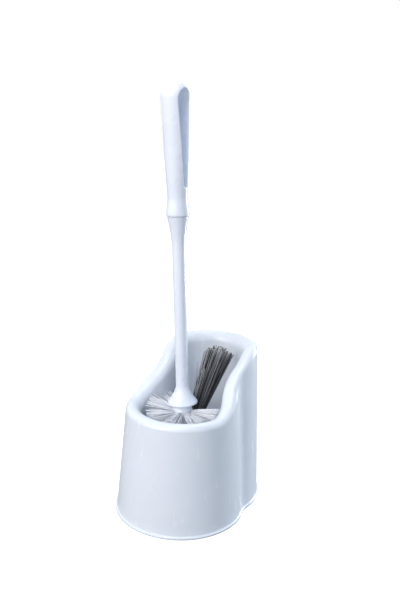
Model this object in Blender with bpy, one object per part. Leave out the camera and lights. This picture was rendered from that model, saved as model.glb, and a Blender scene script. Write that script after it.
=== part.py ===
"""Toilet brush and holder: a moulded two-wall holder with a lobed cup, and the
lift-out brush that stands in it.  Metres, +Z up, origin under the middle of the
foot, front towards -Y, back towards +Y."""

import math

import bmesh
import bpy
from mathutils import Matrix, Vector

# ---- holder: driving sizes -------------------------------------------------
FRONT_RIM_HEIGHT = 0.1052
BACK_RIM_HEIGHT = 0.1526
RIM_ROLL_RADIUS = 0.0061
RIM_FLARE_WIDTH = 0.0088
RIM_FLARE_DEPTH = 0.0110
REAR_CUP_RADIUS = 0.0323
LOBE_SPACING = 0.0385
WAIST_FILLET = 0.026
SKIRT_SLOPE = 0.077
CUP_SLOPE = 0.026
SHOULDER_START = -0.0167
SHOULDER_END = 0.0622
HOLDER_WALL = 0.0020
CUP_FLOOR_HEIGHT = 0.0060
CUP_FLOOR_FILLET = 0.0080
FOOT_FLANGE = 0.0015
FOOT_FLANGE_HEIGHT = 0.0030

# ---- brush head: driving sizes ---------------------------------------------
HEAD_RADIUS = 0.0350
HEAD_TAPER = (0.0070, 0.0025, 0.0015, 0.0005, 0.0)
TUFTS_PER_RING = 8
RING_PITCH = 0.0133
LOWEST_RING_HEIGHT = 0.0375
LOWEST_RING_DIP = math.radians(20)
TOP_RING_DROP = 0.0095
CORE_RADIUS = 0.0090
CORE_NECK_RADIUS = 0.0080
CORE_NECK_LENGTH = 0.0045
CORE_WALL = 0.0012
CROWN_TUFTS = 6
CROWN_DIP = math.radians(40)
CROWN_RADIUS = 0.0235
CROWN_CENTRE_RADIUS = 0.0060
TUFT_ROOT_RADIUS = 0.0016
TUFT_MOUTH = 0.0006
TUFT_SPREAD = 0.60
TUFT_RISE = 0.37

# ---- rim cleaner: driving sizes --------------------------------------------
ARM_WIDTH = 0.0080
ARM_HEIGHT = 0.0060
ARM_TOP_DROP = 0.0172
ARM_SHORTFALL = 0.0015
ARM_NOSE_RADIUS = 0.45 * ARM_WIDTH
RIM_TUFT_LENGTHS = (0.066, 0.0675, 0.066, 0.0615)
RIM_TUFT_LEANS = (26.5, 29, 33, 38.5)
RIM_TUFT_FILL = 0.27
RIM_TUFT_FLARE = 2.3
RIM_TUFT_TIP_RADIUS = 0.0046
RIM_TUFT_SEAT = 0.0030

# ---- stem and grip: driving sizes ------------------------------------------
DRIP_CONE_RADIUS = 0.0139
DRIP_CONE_HEIGHT = 0.0170
DRIP_CONE_EDGE = 0.0012
DRIP_CONE_CURVE = 1.6
STEM_RADIUS = 0.0058
STEM_LENGTH = 0.1752
STEM_HEAD_RADIUS = 0.0097
STEM_HEAD_HEIGHT = 0.0320
STEM_HEAD_CURVE = 1.9
SPIGOT_RADIUS = 0.0040
SPIGOT_LENGTH = 0.0180
TANG_RADIUS = 0.0045
TANG_LENGTH = 0.0190
GRIP_LENGTH = 0.1130
GRIP_COLLAR_RADIUS = 0.0104
GRIP_NECK_RADIUS = 0.0089
GRIP_NECK_HEIGHT = 0.0170
GRIP_TOP_RADIUS = 0.0127
TROUGH_BOTTOM = 0.0250
TROUGH_TOP_WALL = 0.0056
TROUGH_TOP_HALF_WIDTH = 0.0092
TROUGH_BOTTOM_HALF_WIDTH = 0.0028
TROUGH_BACK_WALL = 0.0026
TROUGH_TURN = math.radians(12.5)

# ---- how the brush stands in the holder ------------------------------------
BRUSH_LEAN = math.radians(2.75)
BRUSH_LEAN_TOWARDS = math.radians(209.7)
BRUSH_TURN = math.radians(-12.5)
CUP_CLEARANCE = 0.0017
FIT_GAP = 0.0003

# ---- mesh fineness ---------------------------------------------------------
ARC_STEPS = (14, 4, 12)
ROLL_STEPS = 8
FILLET_STEPS = 3
SKIRT_STEPS = 2
ROUND_STEPS = 32
TUFT_SIDES = 8
HOLE_SIDES = 12
DOME_STEPS = 6
NOSE_STEPS = 4
CONE_STEPS = 5
STEM_HEAD_STEPS = 6
GRIP_STEPS = 12
TROUGH_STEPS = 6
ARCH_STEPS = 5
TROUGH_SIDES = 10
SHARP_EDGE = math.radians(35)

# ---- sizes that follow from the ones above ---------------------------------
ROLL_FRONT = FRONT_RIM_HEIGHT - RIM_ROLL_RADIUS
ROLL_BACK = BACK_RIM_HEIGHT - RIM_ROLL_RADIUS
CUP_DRAW_IN = SKIRT_SLOPE * (ROLL_BACK - ROLL_FRONT) / 2
FRONT_CUP_RADIUS = HEAD_RADIUS + CUP_CLEARANCE + CUP_DRAW_IN
RIM_WIDTH = RIM_ROLL_RADIUS + RIM_FLARE_WIDTH
FRONT_FOOT_RADIUS = FRONT_CUP_RADIUS + RIM_WIDTH + SKIRT_SLOPE * ROLL_FRONT
REAR_FOOT_RADIUS = REAR_CUP_RADIUS + RIM_WIDTH + SKIRT_SLOPE * ROLL_BACK
FRONT_CENTRE_Y = -(LOBE_SPACING + REAR_FOOT_RADIUS - FRONT_FOOT_RADIUS) / 2
STATIONS = 2 * sum(ARC_STEPS)
RING_HEIGHTS = [LOWEST_RING_HEIGHT + RING_PITCH * ring for ring in range(len(HEAD_TAPER))]
CONE_HEIGHT = RING_HEIGHTS[-1] + TOP_RING_DROP
CORE_TOP = CONE_HEIGHT - FIT_GAP
BORE_RADIUS = SPIGOT_RADIUS + FIT_GAP
TUFT_SEAT = CORE_RADIUS - BORE_RADIUS - CORE_WALL
TUFT_HOLE_RADIUS = TUFT_ROOT_RADIUS + FIT_GAP
CORE_DOME_CENTRE = LOWEST_RING_HEIGHT - TUFT_HOLE_RADIUS - 2 * CORE_WALL
ARM_TOP = CONE_HEIGHT - ARM_TOP_DROP
ARM_END = HEAD_RADIUS - ARM_SHORTFALL
RIM_TUFT_RUN = ARM_END - ARM_WIDTH / 2 - CORE_RADIUS - CORE_WALL - FIT_GAP
RIM_TUFT_ROOT_RADIUS = (RIM_TUFT_RUN * RIM_TUFT_FILL
                        / (len(RIM_TUFT_LENGTHS) - 1 + RIM_TUFT_FILL))
STEM_TOP = CONE_HEIGHT + STEM_LENGTH
GRIP_BASE = STEM_TOP + FIT_GAP


def clear_scene():
    """Start from an empty scene."""
    for item in list(bpy.data.objects):
        bpy.data.objects.remove(item, do_unlink=True)


def make_material(name, colour, roughness):
    """A plain moulded or fibre finish."""
    material = bpy.data.materials.new(name)
    material.use_nodes = True
    shader = material.node_tree.nodes["Principled BSDF"]
    shader.inputs["Base Color"].default_value = (*colour, 1.0)
    shader.inputs["Roughness"].default_value = roughness
    shader.inputs["Metallic"].default_value = 0.0
    return material


def add_object(name, bm, material, parent=None):
    """Turn a bmesh into a named object with one material."""
    bmesh.ops.recalc_face_normals(bm, faces=bm.faces)
    mesh = bpy.data.meshes.new(name)
    bm.to_mesh(mesh)
    bm.free()
    mesh.materials.append(material)
    item = bpy.data.objects.new(name, mesh)
    bpy.context.scene.collection.objects.link(item)
    item.parent = parent
    mesh.shade_smooth()
    mesh.set_sharp_from_angle(angle=SHARP_EDGE)
    return item


def add_boolean(item, cutter, operation):
    """Join a shape to an object, or cut it away, with the exact solver."""
    cutter.hide_render = True
    cutter.display_type = "WIRE"
    modifier = item.modifiers.new(cutter.name, "BOOLEAN")
    modifier.operation = operation
    modifier.solver = "EXACT"
    modifier.object = cutter


def turned(profile):
    """Spin a profile of (radius, height) points about the Z axis."""
    bm = bmesh.new()
    points = [bm.verts.new((radius, 0.0, height)) for radius, height in profile]
    edges = [bm.edges.new(pair) for pair in zip(points, points[1:])]
    bmesh.ops.spin(bm, geom=points + edges, cent=(0, 0, 0), axis=(0, 0, 1),
                   angle=math.tau, steps=ROUND_STEPS, use_merge=True)
    bmesh.ops.remove_doubles(bm, verts=bm.verts, dist=1e-6)
    return bm


def arc(centre, radius, start, end, steps):
    """Points along an arc in the plane of a profile, angles in degrees."""
    angles = [math.radians(start + (end - start) * k / steps) for k in range(steps + 1)]
    return [(centre[0] + radius * math.cos(a), centre[1] + radius * math.sin(a)) for a in angles]


def blend_step(share):
    """Rise smoothly from 0 to 1."""
    share = min(max(share, 0.0), 1.0)
    return share * share * (3 - 2 * share)


def lobed_point(station, front_radius, rear_radius, spacing, fillet):
    """One point of the plan outline: a front arc, a concave waist and a rear arc.

    Stations run from the front, up the right side to the back, and down the left."""
    half = STATIONS // 2
    side = 1.0 if station <= half else -1.0
    step = station if station <= half else STATIONS - station
    reach_front = front_radius + fillet
    reach_rear = rear_radius + fillet
    along = (spacing ** 2 + reach_front ** 2 - reach_rear ** 2) / (2 * spacing)
    across = math.sqrt(reach_front ** 2 - along ** 2)
    front_end = math.atan2(along, across)
    rear_start = math.atan2(along - spacing, across)
    if step <= ARC_STEPS[0]:
        angle = -math.pi / 2 + (front_end + math.pi / 2) * step / ARC_STEPS[0]
        x, y = front_radius * math.cos(angle), front_radius * math.sin(angle)
    elif step <= ARC_STEPS[0] + ARC_STEPS[1]:
        share = (step - ARC_STEPS[0]) / ARC_STEPS[1]
        angle = math.pi + front_end + (rear_start - front_end) * share
        x, y = across + fillet * math.cos(angle), along + fillet * math.sin(angle)
    else:
        share = (step - ARC_STEPS[0] - ARC_STEPS[1]) / ARC_STEPS[2]
        angle = rear_start + (math.pi / 2 - rear_start) * share
        x, y = rear_radius * math.cos(angle), spacing + rear_radius * math.sin(angle)
    return Vector((side * x, y + FRONT_CENTRE_Y, 0.0))


def skin_point(station, level, inset, height):
    """A point set in from the outer skirt as it is at one level."""
    point = lobed_point(
        station,
        FRONT_FOOT_RADIUS - SKIRT_SLOPE * level - inset,
        REAR_FOOT_RADIUS - SKIRT_SLOPE * level - inset,
        LOBE_SPACING + SKIRT_SLOPE * level,
        WAIST_FILLET + inset,
    )
    point.z = height
    return point


def cup_point(station, inset, height):
    """A point set in from the foot of the cup wall."""
    point = lobed_point(
        station,
        FRONT_CUP_RADIUS - CUP_SLOPE * (ROLL_FRONT - CUP_FLOOR_HEIGHT) - inset,
        REAR_CUP_RADIUS - CUP_SLOPE * (ROLL_BACK - CUP_FLOOR_HEIGHT) - inset,
        LOBE_SPACING + SKIRT_SLOPE * ROLL_BACK,
        WAIST_FILLET + RIM_WIDTH + inset,
    )
    point.z = height
    return point


def roll_height(station):
    """Height of the rim roll's centre, which climbs from the front to the back."""
    middle = (ROLL_FRONT + ROLL_BACK) / 2
    place = skin_point(station, middle, RIM_ROLL_RADIUS, 0.0).y - FRONT_CENTRE_Y
    climb = blend_step((place - SHOULDER_START) / (SHOULDER_END - SHOULDER_START))
    return ROLL_FRONT + (ROLL_BACK - ROLL_FRONT) * climb


def roll_rows(wall, steps):
    """Rows over the rim: a quarter circle up from the skirt, then a flare down into the cup."""
    rows = []
    for step in range(steps + 1):
        angle = math.pi * step / steps
        width, depth = RIM_ROLL_RADIUS, RIM_ROLL_RADIUS
        if 2 * step > steps:
            width, depth = RIM_FLARE_WIDTH, RIM_FLARE_DEPTH
        inset = RIM_ROLL_RADIUS - (width - wall) * math.cos(angle)
        rise = RIM_ROLL_RADIUS - depth + (depth - wall) * math.sin(angle)
        rows.append([skin_point(s, roll_height(s), inset, roll_height(s) + rise)
                     for s in range(STATIONS)])
    return rows


def cup_rows(wall):
    """Rows round the foot of the cup wall and in onto the floor."""
    radius = CUP_FLOOR_FILLET + wall
    floor = CUP_FLOOR_HEIGHT - wall
    rows = []
    for step in range(FILLET_STEPS + 1):
        angle = math.pi / 2 * step / FILLET_STEPS
        inset = radius * (1 - math.cos(angle)) - wall
        height = floor + radius * (1 - math.sin(angle))
        rows.append([cup_point(s, inset, height) for s in range(STATIONS)])
    return rows


def skirt_row(inset, height):
    """One level row round the skirt."""
    return [skin_point(s, height, inset, height) for s in range(STATIONS)]


def build_holder(material):
    """The holder: skirt, foot flange, rolled rim and cup in one moulding, open below."""
    rows = [
        skirt_row(-FOOT_FLANGE, 0.0),
        skirt_row(-FOOT_FLANGE, FOOT_FLANGE_HEIGHT / 2),
        skirt_row(0.0, FOOT_FLANGE_HEIGHT),
    ]
    for step in range(1, SKIRT_STEPS):
        share = step / SKIRT_STEPS
        rows.append([skin_point(s, roll_height(s) * share, 0.0, roll_height(s) * share)
                     for s in range(STATIONS)])
    rows += roll_rows(0.0, ROLL_STEPS)
    rows += cup_rows(0.0)
    hidden = [skirt_row(HOLDER_WALL, 0.0)]
    hidden += roll_rows(HOLDER_WALL, ROLL_STEPS // 2)
    hidden += cup_rows(HOLDER_WALL)
    bm = bmesh.new()
    top_rows = [[bm.verts.new(p) for p in row] for row in rows]
    hidden_rows = [[bm.verts.new(p) for p in row] for row in hidden]
    chain = list(reversed(hidden_rows)) + top_rows
    for lower, upper in zip(chain, chain[1:]):
        for s in range(STATIONS):
            n = (s + 1) % STATIONS
            bm.faces.new((lower[s], lower[n], upper[n], upper[s]))
    for row in (top_rows[-1], hidden_rows[-1]):
        middle = bm.verts.new((0.0, 0.0, row[0].co.z))
        for s in range(STATIONS):
            bm.faces.new((row[s], row[(s + 1) % STATIONS], middle))
    return add_object("holder_shell", bm, material)


def loft(rows):
    """A closed solid through rows of points, with a flat cap at each end."""
    bm = bmesh.new()
    rings = [[bm.verts.new(point) for point in row] for row in rows]
    for lower, upper in zip(rings, rings[1:]):
        for k in range(len(lower)):
            n = (k + 1) % len(lower)
            bm.faces.new((lower[k], lower[n], upper[n], upper[k]))
    bm.faces.new(rings[0])
    bm.faces.new(rings[-1])
    return bm


def tuft_mesh(root_radius, seat, length, across, along):
    """A bristle tuft as one solid: a round root in its hole that fans out to the tip.

    It grows along +Z from its hole's floor; across and along are the tip's half sizes."""
    rows = []
    mouth = seat + TUFT_MOUTH
    for wide, tall, reach in ((root_radius, root_radius, 0.0), (root_radius, root_radius, mouth),
                              (across, along, mouth + length)):
        angles = [math.tau * k / TUFT_SIDES for k in range(TUFT_SIDES)]
        rows.append([(wide * math.cos(a), tall * math.sin(a), reach) for a in angles])
    return loft(rows)


def seat_frame(angle, radius, height, dip):
    """A frame whose +Z points out of the head at an angle, dipping below level."""
    out = Vector((math.cos(angle) * math.cos(dip), math.sin(angle) * math.cos(dip), -math.sin(dip)))
    turn = out.to_track_quat("Z", "Y").to_matrix().to_4x4()
    return Matrix.Translation(Vector((0, 0, height)) + out * radius) @ turn


def arm_takes_place(ring, count):
    """True for the tuft under the rim cleaner's arm and the two beside it in the top ring."""
    top = len(RING_HEIGHTS) - 1
    under = ring == top - 1 and count == 0
    beside = ring == top and count in (0, TUFTS_PER_RING - 1)
    return under or beside


def ring_seats():
    """Name, seat frame, length and tip sizes of every white tuft."""
    seats = []
    bottom = CORE_RADIUS - TUFT_SEAT
    pitch = math.tau / TUFTS_PER_RING
    for ring, height in enumerate(RING_HEIGHTS):
        tip = HEAD_RADIUS - HEAD_TAPER[ring]
        offset = 0.5 if (len(RING_HEIGHTS) - 1 - ring) % 2 == 0 else 0.0
        dip = LOWEST_RING_DIP if ring == 0 else 0.0
        length = (tip - CORE_RADIUS - TUFT_MOUTH) / math.cos(dip)
        across = TUFT_SPREAD * tip * math.sin(pitch / 2)
        for count in range(TUFTS_PER_RING):
            if arm_takes_place(ring, count):
                continue
            angle = math.pi / 2 + pitch * (count + offset)
            name = "white_tuft_%d_%d" % (ring + 1, count + 1)
            frame = seat_frame(angle, bottom, height, dip)
            seats.append((name, frame, length, across, TUFT_RISE * RING_PITCH))
    for count in range(CROWN_TUFTS):
        frame = seat_frame(math.tau * count / CROWN_TUFTS, bottom, CORE_DOME_CENTRE, CROWN_DIP)
        length = CROWN_RADIUS / math.cos(CROWN_DIP) - CORE_RADIUS - TUFT_MOUTH
        across = TUFT_SPREAD * CROWN_RADIUS * math.sin(math.pi / CROWN_TUFTS)
        seats.append(("crown_tuft_%d" % (count + 1), frame, length, across, TUFT_RISE * RING_PITCH))
    frame = seat_frame(0.0, bottom, CORE_DOME_CENTRE, math.pi / 2)
    length = CORE_DOME_CENTRE - CORE_RADIUS - TUFT_MOUTH
    seats.append(("crown_tuft_centre", frame, length, CROWN_CENTRE_RADIUS, CROWN_CENTRE_RADIUS))
    return seats


def rim_seats():
    """Name, seat frame and length of each grey tuft along the rim cleaner's arm."""
    seats = []
    first = CORE_RADIUS + RIM_TUFT_ROOT_RADIUS + FIT_GAP + CORE_WALL
    last = ARM_END - ARM_WIDTH / 2
    count = len(RIM_TUFT_LENGTHS)
    for index, length in enumerate(RIM_TUFT_LENGTHS):
        lean = math.radians(RIM_TUFT_LEANS[index])
        reach = first + (last - first) * index / (count - 1)
        out = Vector((0.0, math.sin(lean), math.cos(lean)))
        turn = out.to_track_quat("Z", "Y").to_matrix().to_4x4()
        root = Vector((0.0, reach, ARM_TOP)) - out * RIM_TUFT_SEAT
        seats.append(("rim_tuft_%d" % (index + 1), Matrix.Translation(root) @ turn, length))
    return seats


def build_tufts(white, grey, parent):
    """Every bristle tuft, each its own solid with its root in its hole."""
    lift = Matrix.Translation((0, 0, FIT_GAP))
    for name, frame, length, across, along in ring_seats():
        bm = tuft_mesh(TUFT_ROOT_RADIUS, TUFT_SEAT - FIT_GAP, length, across, along)
        bmesh.ops.transform(bm, matrix=frame @ lift, verts=bm.verts)
        add_object(name, bm, white, parent)
    for name, frame, length in rim_seats():
        bm = tuft_mesh(RIM_TUFT_ROOT_RADIUS, RIM_TUFT_SEAT - FIT_GAP, length,
                       RIM_TUFT_TIP_RADIUS, RIM_TUFT_ROOT_RADIUS * RIM_TUFT_FLARE)
        bmesh.ops.transform(bm, matrix=frame @ lift, verts=bm.verts)
        add_object(name, bm, grey, parent)


def build_core(material, parent):
    """The head core: a bored post with a domed foot, tuft holes and the rim cleaner's arm."""
    bore_floor = CORE_TOP - SPIGOT_LENGTH - FIT_GAP
    profile = [(0.0, bore_floor), (BORE_RADIUS, bore_floor), (BORE_RADIUS, CORE_TOP),
               (CORE_NECK_RADIUS, CORE_TOP), (CORE_NECK_RADIUS, CORE_TOP - CORE_NECK_LENGTH),
               (CORE_RADIUS, CORE_TOP - CORE_NECK_LENGTH - CORE_WALL)]
    profile += arc((0.0, CORE_DOME_CENTRE), CORE_RADIUS, 0, -90, DOME_STEPS)
    core = add_object("head_core", turned(profile), material, parent)

    arm = bmesh.new()
    start = CORE_RADIUS - CORE_WALL
    bmesh.ops.create_cube(arm, size=1.0)
    bmesh.ops.scale(arm, verts=arm.verts, vec=(ARM_WIDTH, ARM_END - start, ARM_HEIGHT))
    bmesh.ops.translate(arm, verts=arm.verts,
                        vec=(0, (ARM_END + start) / 2, ARM_TOP - ARM_HEIGHT / 2))
    nose = [e for e in arm.edges if all(v.co.y > ARM_END - FIT_GAP for v in e.verts)
            and abs(e.verts[0].co.z - e.verts[1].co.z) > FIT_GAP]
    bmesh.ops.bevel(arm, geom=nose, offset=ARM_NOSE_RADIUS, segments=NOSE_STEPS,
                    affect="EDGES", profile=0.5)
    add_boolean(core, add_object("arm_blank", arm, material, parent), "UNION")

    cutters = bmesh.new()
    for _, frame, _, _, _ in ring_seats():
        add_hole(cutters, TUFT_HOLE_RADIUS, frame)
    for _, frame, _ in rim_seats():
        add_hole(cutters, RIM_TUFT_ROOT_RADIUS + FIT_GAP, frame)
    add_boolean(core, add_object("hole_blank", cutters, material, parent), "DIFFERENCE")
    return core


def add_hole(bm, radius, frame):
    """Add one tuft hole's cutter, from its seat out past the surface."""
    depth = TUFT_SEAT + 2 * CORE_WALL
    made = bmesh.ops.create_cone(bm, cap_ends=True, segments=HOLE_SIDES, radius1=radius,
                                 radius2=radius, depth=depth)
    bmesh.ops.translate(bm, verts=made["verts"], vec=(0, 0, depth / 2))
    bmesh.ops.transform(bm, matrix=frame, verts=made["verts"])


def build_stem(material, parent):
    """The stem: a spigot for the head, a drip cone, the rod, a flared head and a tang."""
    base = CONE_HEIGHT
    waist = DRIP_CONE_RADIUS - STEM_RADIUS
    profile = [(0.0, base - SPIGOT_LENGTH), (SPIGOT_RADIUS, base - SPIGOT_LENGTH),
               (SPIGOT_RADIUS, base), (DRIP_CONE_RADIUS, base),
               (DRIP_CONE_RADIUS, base + DRIP_CONE_EDGE)]
    for step in range(1, CONE_STEPS + 1):
        share = step / CONE_STEPS
        radius = STEM_RADIUS + waist * (1 - share) ** DRIP_CONE_CURVE
        rise = DRIP_CONE_EDGE + (DRIP_CONE_HEIGHT - DRIP_CONE_EDGE) * share
        profile.append((radius, base + rise))
    flare = STEM_HEAD_RADIUS - STEM_RADIUS
    for step in range(STEM_HEAD_STEPS + 1):
        share = step / STEM_HEAD_STEPS
        radius = STEM_RADIUS + flare * share ** STEM_HEAD_CURVE
        profile.append((radius, STEM_TOP - STEM_HEAD_HEIGHT * (1 - share)))
    profile += [(TANG_RADIUS, STEM_TOP), (TANG_RADIUS, STEM_TOP + TANG_LENGTH),
                (0.0, STEM_TOP + TANG_LENGTH)]
    return add_object("stem", turned(profile), material, parent)


def grip_radius(rise):
    """Outside radius of the grip at a height above its foot."""
    if rise <= GRIP_NECK_HEIGHT:
        share = blend_step(rise / GRIP_NECK_HEIGHT)
        return GRIP_COLLAR_RADIUS + (GRIP_NECK_RADIUS - GRIP_COLLAR_RADIUS) * share
    share = (rise - GRIP_NECK_HEIGHT) / (GRIP_LENGTH - GRIP_TOP_RADIUS - GRIP_NECK_HEIGHT)
    return GRIP_NECK_RADIUS + (GRIP_TOP_RADIUS - GRIP_NECK_RADIUS) * min(share, 1.0)


def trough_section(rise):
    """The trough's outline at a height: open to the air on +X, with a round back."""
    arch_foot = GRIP_LENGTH - TROUGH_TOP_WALL - TROUGH_TOP_HALF_WIDTH
    share = min((rise - TROUGH_BOTTOM) / (arch_foot - TROUGH_BOTTOM), 1.0)
    width = TROUGH_BOTTOM_HALF_WIDTH + (TROUGH_TOP_HALF_WIDTH - TROUGH_BOTTOM_HALF_WIDTH) * share
    over = max(0.0, (rise - arch_foot) / TROUGH_TOP_HALF_WIDTH)
    narrow = math.sqrt(1 - over ** 2)
    width *= narrow
    depth = (grip_radius(rise) - TROUGH_BACK_WALL) * narrow
    outside = GRIP_TOP_RADIUS + TROUGH_BACK_WALL
    angles = [math.pi * k / TROUGH_SIDES - math.pi / 2 for k in range(TROUGH_SIDES + 1)]
    back = [(-depth * math.cos(a), width * math.sin(a)) for a in angles]
    return [(x, y, GRIP_BASE + rise) for x, y in [(outside, -width)] + back + [(outside, width)]]


def trough_cutter():
    """The trough as a solid: it widens upwards and ends in a round arch."""
    arch_foot = GRIP_LENGTH - TROUGH_TOP_WALL - TROUGH_TOP_HALF_WIDTH
    rises = [TROUGH_BOTTOM + (arch_foot - TROUGH_BOTTOM) * step / TROUGH_STEPS
             for step in range(TROUGH_STEPS + 1)]
    rises += [arch_foot + TROUGH_TOP_HALF_WIDTH * math.sin(math.pi / 2 * step / ARCH_STEPS)
              for step in range(1, ARCH_STEPS)]
    cutter = loft([trough_section(rise) for rise in rises])
    bmesh.ops.rotate(cutter, verts=cutter.verts, matrix=Matrix.Rotation(TROUGH_TURN, 3, "Z"))
    return cutter


def build_grip(material, parent):
    """The grip: a flared handle with a domed top, a bore for the tang and a side trough."""
    bore = TANG_RADIUS + FIT_GAP
    bore_top = GRIP_BASE + TANG_LENGTH
    profile = [(0.0, bore_top), (bore, bore_top), (bore, GRIP_BASE)]
    shoulder = GRIP_LENGTH - GRIP_TOP_RADIUS
    for step in range(GRIP_STEPS + 1):
        rise = shoulder * step / GRIP_STEPS
        profile.append((grip_radius(rise), GRIP_BASE + rise))
    profile += arc((0.0, GRIP_BASE + shoulder), GRIP_TOP_RADIUS, 0, 90, DOME_STEPS)[1:]
    grip = add_object("grip", turned(profile), material, parent)
    add_boolean(grip, add_object("trough_blank", trough_cutter(), material, parent), "DIFFERENCE")
    return grip


def place_brush():
    """The brush's own frame: its foot on the cup floor, leaning and turned in the cup."""
    lean_way = Vector((math.cos(BRUSH_LEAN_TOWARDS), math.sin(BRUSH_LEAN_TOWARDS), 0.0))
    foot = Vector((0.0, FRONT_CENTRE_Y, CUP_FLOOR_HEIGHT + FIT_GAP))
    foot -= lean_way * CONE_HEIGHT * math.tan(BRUSH_LEAN)
    foot.z += CROWN_CENTRE_RADIUS * math.sin(BRUSH_LEAN)
    hinge = Vector((-lean_way.y, lean_way.x, 0.0))
    frame = bpy.data.objects.new("brush_frame", None)
    frame.matrix_world = (Matrix.Translation(foot) @ Matrix.Rotation(BRUSH_LEAN, 4, hinge)
                          @ Matrix.Rotation(BRUSH_TURN, 4, "Z"))
    bpy.context.scene.collection.objects.link(frame)
    return frame


def main():
    """Build the holder, then the brush standing in it."""
    clear_scene()
    holder_plastic = make_material("holder_plastic", (0.80, 0.86, 0.94), 0.22)
    handle_plastic = make_material("handle_plastic", (0.82, 0.86, 0.94), 0.28)
    white_bristle = make_material("white_bristle", (0.86, 0.88, 0.92), 0.55)
    grey_bristle = make_material("grey_bristle", (0.09, 0.10, 0.11), 0.50)
    build_holder(holder_plastic)
    frame = place_brush()
    build_core(handle_plastic, frame)
    build_stem(handle_plastic, frame)
    build_grip(handle_plastic, frame)
    build_tufts(white_bristle, grey_bristle, frame)


main()
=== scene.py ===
"""The looks of a toilet brush standing in its holder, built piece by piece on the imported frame.

Metres, +Z up, the holder's foot on Z = 0.  Every piece is made where it stands at rest."""

import math

import bmesh
import bpy
import numpy as np
from mathutils import Matrix, Vector


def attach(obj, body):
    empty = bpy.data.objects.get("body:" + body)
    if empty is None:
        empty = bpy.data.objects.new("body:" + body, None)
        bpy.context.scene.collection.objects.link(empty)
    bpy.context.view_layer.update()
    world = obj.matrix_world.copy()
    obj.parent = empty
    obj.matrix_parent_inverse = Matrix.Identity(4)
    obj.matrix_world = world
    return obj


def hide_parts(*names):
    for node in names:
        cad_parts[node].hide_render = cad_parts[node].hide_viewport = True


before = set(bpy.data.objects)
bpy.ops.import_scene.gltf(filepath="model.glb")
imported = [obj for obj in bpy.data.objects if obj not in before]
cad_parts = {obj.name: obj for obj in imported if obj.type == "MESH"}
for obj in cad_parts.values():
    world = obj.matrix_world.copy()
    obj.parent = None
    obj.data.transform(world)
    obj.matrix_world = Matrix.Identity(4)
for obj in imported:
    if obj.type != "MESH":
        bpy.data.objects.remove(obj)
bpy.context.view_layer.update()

# ---- The camera, the floor and the lights ------------------------------------------------
# A product shot from just above the rim, a little to the right of the holder's front.  A
# pale floor runs back into a white surround.  Two softboxes on the left do most of the work,
# two overhead fill the cup, and a strip behind on the right draws the back edge.
VIEW_TURN = math.radians(29.69)
VIEW_DIP = math.radians(14.24)
VIEW_ROLL = math.radians(1.85)
VIEW_DISTANCE = 0.5938
VIEW_SIDE = 0.0133
VIEW_HEIGHT = 0.3569
LENS_LENGTH = 27.04
FILM_HEIGHT = 24.0
NEAREST_SEEN = 0.01
SOFTBOX_AIM_HEIGHT = 0.10
FILL_COLOUR = (0.70, 0.83, 1.0, 1.0)
FILL_STRENGTH = 0.42
WHITE = (1.0, 1.0, 1.0, 1.0)
FLOOR_SIZE = 6.0
FLOOR_COLOUR = (0.40, 0.41, 0.42, 1.0)
FLOOR_GLOW = 0.97
FRONT_LOBE_Y = -0.0179624

rightwards = Vector((math.cos(VIEW_TURN), math.sin(VIEW_TURN), 0.0))
away = Vector((-math.sin(VIEW_TURN), math.cos(VIEW_TURN), 0.0))
cup_middle = Vector((0.0, FRONT_LOBE_Y, 0.0))

camera = bpy.data.objects.new("camera", bpy.data.cameras.new("camera"))
camera.data.sensor_fit = "VERTICAL"
camera.data.sensor_height = FILM_HEIGHT
camera.data.lens = LENS_LENGTH
camera.data.clip_start = NEAREST_SEEN
camera.matrix_world = (
    Matrix.Translation(cup_middle + rightwards * VIEW_SIDE - away * VIEW_DISTANCE
                       + Vector((0.0, 0.0, VIEW_HEIGHT)))
    @ Matrix.Rotation(VIEW_TURN, 4, "Z")
    @ Matrix.Rotation(math.pi / 2 - VIEW_DIP, 4, "X")
    @ Matrix.Rotation(VIEW_ROLL, 4, "Z")
)
bpy.context.scene.collection.objects.link(camera)
bpy.context.scene.camera = camera
bpy.context.scene.view_settings.view_transform = "Standard"


def add_softbox(name, right, forward, height, width, tall, power, colour):
    """An area light placed by its distances right of, beyond and above the cup."""
    light = bpy.data.lights.new(name, "AREA")
    light.shape = "RECTANGLE"
    light.size = width
    light.size_y = tall
    light.energy = power
    light.color = colour
    lamp = bpy.data.objects.new(name, light)
    place = cup_middle + rightwards * right + away * forward + Vector((0.0, 0.0, height))
    aim = cup_middle + Vector((0.0, 0.0, SOFTBOX_AIM_HEIGHT)) - place
    turn = aim.to_track_quat("-Z", "Y").to_matrix().to_4x4()
    lamp.matrix_world = Matrix.Translation(place) @ turn
    bpy.context.scene.collection.objects.link(lamp)


add_softbox("key_softbox", -1.00, -0.60, 0.62, 0.7, 0.7, 4.2, (1.0, 0.87, 0.75))
add_softbox("front_softbox", -0.65, -1.05, 0.80, 0.6, 0.6, 8.6, (0.98, 0.96, 0.96))
add_softbox("top_softbox", 0.05, 0.55, 1.30, 0.6, 0.6, 2.2, (1.0, 0.97, 0.97))
add_softbox("cup_softbox", -0.10, -0.30, 1.35, 0.5, 0.5, 4.6, (0.84, 0.93, 1.0))
add_softbox("edge_strip", 0.80, 0.56, 0.25, 0.20, 0.7, 8.5, (0.93, 0.96, 1.0))

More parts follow.
